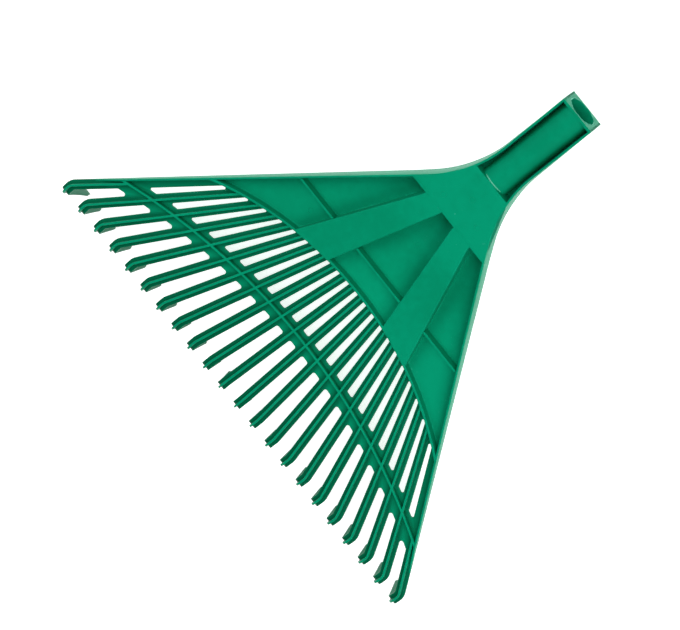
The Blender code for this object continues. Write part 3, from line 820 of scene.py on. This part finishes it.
def painted_exposure_off_ribs(points):
    """Exposure for painted shade: 1 far from the ribs, falling to 0 at the foot of the nearest tine, tie or
    deck rib, where the sheet is painted darkest.
    """
    x, y = (points - centre) @ across, (points - centre) @ to_handle
    off_tines = np.abs(np.outer(x, np.cos(tine_angle)) + np.outer(y, np.sin(tine_angle))).min(axis=1)
    off_tie = np.abs(np.hypot(x, y - tie_arc[1]) - tie_arc[0])
    off_deck = np.abs(np.hypot(x, y - deck_arc[1]) - deck_arc[0])
    nearest = np.minimum.reduce((off_tines, off_tie, off_deck))
    return 1 - np.exp(-((nearest / SHADE_REACH) ** 3))


web_shells = []
for index in range(TINES - 1):
    web_shells += web_cell(index)
web_points = np.concatenate([shell[0] for shell in web_shells])
# The web sheet gets painted shade beside its ribs.
web = piece("web_sheet", web_shells, tine_plastic, painted_exposure_off_ribs(web_points))
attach(web, "frame")
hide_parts("tie_band", *[f"stem_{number:02d}" for number in range(2, TINES)])

# --------------------------------------------------------------------------------------------------
# Web ribs. A rib along the middle of each tine runs from the deck wall over the tie band, and one rib
# crosses them all along the band. The first and last tine's ribs only start at the band, inside the rims.

RIB_FOOT = 0.0003
RIB_CREST = 0.00022
TIE_RIB_DROP = 0.00005


def stem_rib(index):
    """A rib's profile along a tine's ray from the deck wall, or for outer tines the tie rib, to the root."""
    sideways, z = filleted_wall(RIB_WIDTH, SHEET + RIB_HEIGHT, RIB_FOOT, RIB_CREST, SHEET)
    angle = tine_angle[index]
    inner = run_to(tie_arc if index in (0, TINES - 1) else deck_arc, angle, sideways)
    outer = run_to(tie_arc, angle, sideways, ROOT_LINE)
    run = inner + np.linspace(0, 1, 5)[:, None] * (outer - inner)
    x, y = on_ray(angle, sideways, run)
    return skin(on_fan(x, y, z))


tie_profile = filleted_wall(RIB_WIDTH, SHEET + RIB_HEIGHT - TIE_RIB_DROP, RIB_FOOT, RIB_CREST, SHEET)
rib_shells = [stem_rib(index) for index in range(TINES)] + [along_arc(tie_arc, tie_profile, WALL / 2)]
# Painted light and shade on the ribs: full green on the crests, painted shade on their sides and feet.
rib_height = (np.concatenate([shell[0] for shell in rib_shells]) - centre) @ out
crest_painted_exposure = np.clip((rib_height - SHEET - RIB_HEIGHT) / RIB_CREST + 2, 0, 1)
ribs = piece("web_ribs", rib_shells, tine_plastic, crest_painted_exposure)
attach(ribs, "frame")

# --------------------------------------------------------------------------------------------------
# Tines. Each free tine is a tee section that runs out on its ray, turns parallel to its neighbours, bends
# down and ends in a hook with clipped corners that leans outwards. Use has set the hooks slightly askew.

TIP_REACH = 0.2926
TIP_PITCH = 0.0200
TURN_LEAD = 0.0103
TURN_RADIUS = 0.009
BEND_RADIUS = 0.0025
TURN_SHARE = 0.95
HOOK_FROM = 0.0040
HOOK_DROP = 0.0345
HOOK_RIB = 0.0005
HOOK_LEAN = 0.0034
HOOK_LIFT = 0.1 * HOOK_LEAN
HOOK_TAPER = 0.0045
HOOK_END_SHARE = 0.55
HOOK_END_ROUND = 0.0006
FLEX_LENGTH = 0.014
RIB_STRAIGHT = 0.0002
ASKEW = {0: 0.006, 10: -0.002, 21: -0.0014}
ASKEW_LEFT, ASKEW_LEFT_TINES = 0.0008, 9
ASKEW_WAVE, ASKEW_WAVE_STEP = 0.0005, 2.4

# Painted exposure of the rounds of half a section, under, edge, foot and crest, with four points each: 0
# paints full shade under the flange and at the rib's foot, 1 leaves the crest the full green.
TEE_PAINTED_EXPOSURE = np.repeat((0.0, 0.15, 0.0, 1.0), 4)


def tee(width, rib):
    """Tee sections, one for each station: rounded flange, filleted foot and rounded crest of the rib. Where
    the rib is too low for its rounds, they shrink with it."""
    width, rib = np.broadcast_arrays(width, rib)
    half = width[:, None] / 2
    stem = RIB_WIDTH / 2
    small = np.clip(rib / (RIB_FOOT + RIB_CREST + RIB_STRAIGHT), 0.05, 1)[:, None]
    zero = 0 * half
    under = quarter(0.0, 0.0, UNDER_ROUND, 270)
    edge = quarter(0.0, 0.0, SHEET_ROUND, 0)
    foot = quarter(0.0, 0.0, RIB_FOOT, 270, turn=-90)
    crest = quarter(0.0, 0.0, RIB_CREST, 0)
    x = [
        half - UNDER_ROUND + under[0],
        half - SHEET_ROUND + edge[0],
        stem + small * (RIB_FOOT + foot[0]),
        stem + small * (crest[0] - RIB_CREST),
    ]
    z = [
        zero + UNDER_ROUND + under[1],
        zero + SHEET - SHEET_ROUND + edge[1],
        SHEET + small * (RIB_FOOT + foot[1]),
        SHEET + rib[:, None] + small * (crest[1] - RIB_CREST),
    ]
    x, z = np.concatenate(x, axis=1), np.concatenate(z, axis=1)
    return np.concatenate([x, -x[:, ::-1]], axis=1), np.concatenate([z, z[:, ::-1]], axis=1)


def tine(index):
    """The tee carried along shaft, turn, bend and hook. Each stretch gives a middle line, a direction across
    and a direction outwards. Heights are laid off outwards, widths across."""
    angle = tine_angle[index]
    side = np.sign(angle)
    tip_x = (index - (TINES - 1) / 2) * TIP_PITCH
    turn = abs(angle)
    radius = min(TURN_RADIUS, (TURN_LEAD - SHEET - BEND_RADIUS) / math.tan(turn / 2) * TURN_SHARE)
    turned_y = -(TIP_REACH - TURN_LEAD) - radius * math.tan(turn / 2)

    sideways, height = tee(np.full(1, FLANGE_WIDTH), np.full(1, RIB_HEIGHT))
    sideways, height = sideways[0], height[0]
    start = run_to(tie_arc, angle, sideways, ROOT_LINE)
    turn_x = tip_x - side * radius * (1 - math.cos(turn))
    turn_y = turned_y + radius * math.sin(turn)
    finish_run = turn_x * math.sin(angle) - turn_y * math.cos(angle)
    run = start + np.linspace(0, 1, 8)[:-1, None] * (finish_run - start)
    x, y = on_ray(angle, sideways, run)
    shaft = on_fan(x, y, height + 0 * x)

    left = turn * np.linspace(1, 0, 9)[:, None]
    x = tip_x - side * radius * (1 - np.cos(left)) + np.cos(left) * sideways
    y = turned_y + radius * np.sin(left) + side * np.sin(left) * sideways
    turning = on_fan(x, y, height + 0 * x)

    share = np.linspace(0, 1, 10)
    bend_side, bend_height = tee(FLANGE_WIDTH + 0 * share, RIB_HEIGHT + (HOOK_RIB - RIB_HEIGHT) * share)
    down = (math.pi / 2 * share)[:, None]
    reach = BEND_RADIUS + bend_height
    y = -TIP_REACH + SHEET + BEND_RADIUS - reach * np.sin(down)
    bending = on_fan(tip_x + bend_side, y, -BEND_RADIUS + reach * np.cos(down))

    rounded_from = HOOK_DROP - HOOK_END_ROUND
    drop = spread((HOOK_FROM, 2), (0.007, 5), (HOOK_DROP - HOOK_TAPER, 4), (rounded_from, 3), (HOOK_DROP, 0))
    tapered = np.clip((drop - HOOK_DROP + HOOK_TAPER) / HOOK_TAPER, 0, 1)
    width = FLANGE_WIDTH * (1 - (1 - HOOK_END_SHARE) * tapered)
    rib = np.interp(drop, (0, HOOK_DROP - 0.001, HOOK_DROP), (HOOK_RIB, HOOK_RIB, HOOK_RIB * 0.4))
    hook_side, hook_height = tee(width, rib)
    rounding = HOOK_END_ROUND * np.clip((drop - rounded_from) / HOOK_END_ROUND, 0, 1)[:, None]
    hook_height = hook_height + rounding * np.where(hook_height < SHEET / 2, 1.0, -0.5)
    usual_set = ASKEW_LEFT * (index < ASKEW_LEFT_TINES) + ASKEW_WAVE * math.sin(ASKEW_WAVE_STEP * index)
    askew = ASKEW.get(index, usual_set) * (drop[:, None] / HOOK_DROP) ** 1.5
    lean = np.clip((drop[:, None] - HOOK_FROM) / (HOOK_DROP - HOOK_FROM), 0, 1)
    y = -TIP_REACH + SHEET - hook_height - HOOK_LEAN * lean
    hook = on_fan(tip_x + hook_side + askew, y, HOOK_LIFT * lean - drop[:, None])
    return skin(np.concatenate([shaft, turning, bending, hook]))


# Painted shade along each tine: the exposure of one section repeated for every station.
around = np.concatenate([TEE_PAINTED_EXPOSURE, TEE_PAINTED_EXPOSURE[::-1]])
for index in range(TINES):
    body = f"tine_{index + 1:02d}"
    shell = tine(index)
    prong = piece(f"prong_{index + 1:02d}", [shell], tine_plastic, np.resize(around, len(shell[0])))
    root = at(tine_angle[index], 0.0, tie_arc, ROOT_LINE)
    inwards = np.array([-root[0], tie_arc[1] - root[1]])
    inwards /= np.linalg.norm(inwards)
    oblique = inwards @ np.array([math.sin(tine_angle[index]), -math.cos(tine_angle[index])])
    flexed = root + inwards * FLEX_LENGTH * oblique
    on_fan(*root, 0.0)
    on_fan(*flexed, 0.0)
    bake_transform(prong)
    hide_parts(body)

# --------------------------------------------------------------------------------------------------
# Tool marks. Ejector pins leave a fine raised ring where they push the moulding out of the tool.

PIN_RADIUS = 0.0022
PIN_BEAD = 0.00012
PIN_PROUD = 0.00003
PIN_STEPS = 32
pin_places = (
    (0.0, -0.026, HUB_HEIGHT),
    (-0.016, -0.040, HUB_HEIGHT),
    (0.018, -0.036, HUB_HEIGHT),
    (-0.040, -0.115, SHEET),
    (0.0, -0.085, SHEET),
    (0.062, -0.112, SHEET),
    (-0.070, -0.135, SHEET),
)


def pin_ring(x, y, z):
    """A thin bead in a ring, half sunk into the face that it lies on."""
    turned = np.linspace(0, 2 * math.pi, PIN_STEPS, endpoint=False)[:, None]
    bead = np.linspace(0, 2 * math.pi, BEAD_SIDES, endpoint=False)
    radius = PIN_RADIUS + PIN_BEAD * np.cos(bead)
    height = z + PIN_PROUD + PIN_BEAD * np.sin(bead)
    return skin(on_fan(x + radius * np.cos(turned), y + radius * np.sin(turned), height), ring=True)


marks = piece("ejector_marks", [pin_ring(*place) for place in pin_places], deck_plastic)
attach(marks, "frame")

# --------------------------------------------------------------------------------------------------
# Stage. The head lies on a white light table under soft studio lamps. The camera stands behind the
# handle's end and looks down on the ribbed side, turned so that the fan opens to the left.

CAMERA_AT = (0.0053, 0.2668, 0.9829)
CAMERA_TILT = math.radians(24)
SENSOR_WIDTH = 36.0
LENS = 74.117647
ROLL = math.atan2(0.7814, 0.6239)
ROOM_LIGHT = 0.06
TABLE_SIZE = 6.0
TABLE_GAP = 0.0002

world = bpy.data.worlds.new("studio")
bpy.context.scene.world = world
world.use_nodes = True
world_tree = world.node_tree
seen = world_tree.nodes.new("ShaderNodeLightPath").outputs["Is Camera Ray"]
background = world_tree.nodes["Background"]
wire(world_tree, maths(world_tree, "ADD", seen, ROOM_LIGHT), background.inputs["Strength"])
background.inputs["Color"].default_value = (1, 1, 1, 1)

table_mesh = bpy.data.meshes.new("light_table")
half = TABLE_SIZE / 2
table_corners = [(-half, -half, 0), (half, -half, 0), (half, half, 0), (-half, half, 0)]
table_mesh.from_pydata(table_corners, [], [(0, 1, 2, 3)])
table = bpy.data.objects.new("light_table", table_mesh)
table.location.z = -TABLE_GAP
bpy.context.scene.collection.objects.link(table)
table_material = bpy.data.materials.new("light_table")
table_material.use_nodes = True
table_shader = table_material.node_tree.nodes["Principled BSDF"]
table_shader.inputs["Base Color"].default_value = (0.8, 0.8, 0.8, 1)
table_shader.inputs["Roughness"].default_value = 0.9
table_shader.inputs["Specular IOR Level"].default_value = 0.0
table_shader.inputs["Emission Color"].default_value = (1, 1, 1, 1)
table_shader.inputs["Emission Strength"].default_value = 0.75
table_mesh.materials.append(table_material)


def lamp(name, where, size, power):
    """A square area lamp at a world place, facing the head's middle."""
    data = bpy.data.lights.new(name, "AREA")
    data.shape = "SQUARE"
    data.size = size
    data.energy = power
    made = bpy.data.objects.new(name, data)
    made.location = where
    direction = -made.location
    made.rotation_euler = direction.to_track_quat("-Z", "Y").to_euler()
    bpy.context.scene.collection.objects.link(made)


lamp("left_softbox", (-1.6, 0.3, 1.7), 1.5, 32.0)
lamp("right_softbox", (1.6, 0.3, 1.7), 1.5, 34.0)
lamp("back_softbox", (0.1, 1.3, 1.9), 1.3, 14.0)

camera_data = bpy.data.cameras.new("camera")
camera = bpy.data.objects.new("camera", camera_data)
bpy.context.scene.collection.objects.link(camera)
camera_data.sensor_width = SENSOR_WIDTH
camera_data.lens = LENS
camera_data.clip_start = 0.01
origin = on_fan(0.0, 0.0, 0.0)
in_view = on_fan(0.0, math.cos(CAMERA_TILT), -math.sin(CAMERA_TILT)) - origin
backwards = on_fan(0.0, math.sin(CAMERA_TILT), math.cos(CAMERA_TILT)) - origin
image_right = math.cos(ROLL) * across + math.sin(ROLL) * in_view
image_up = -math.sin(ROLL) * across + math.cos(ROLL) * in_view
pose = np.eye(4)
pose[:3, 0], pose[:3, 1], pose[:3, 2], pose[:3, 3] = image_right, image_up, backwards, on_fan(*CAMERA_AT)
camera.matrix_world = pose.T.tolist()
bpy.context.scene.camera = camera
bpy.context.scene.view_settings.view_transform = "Standard"
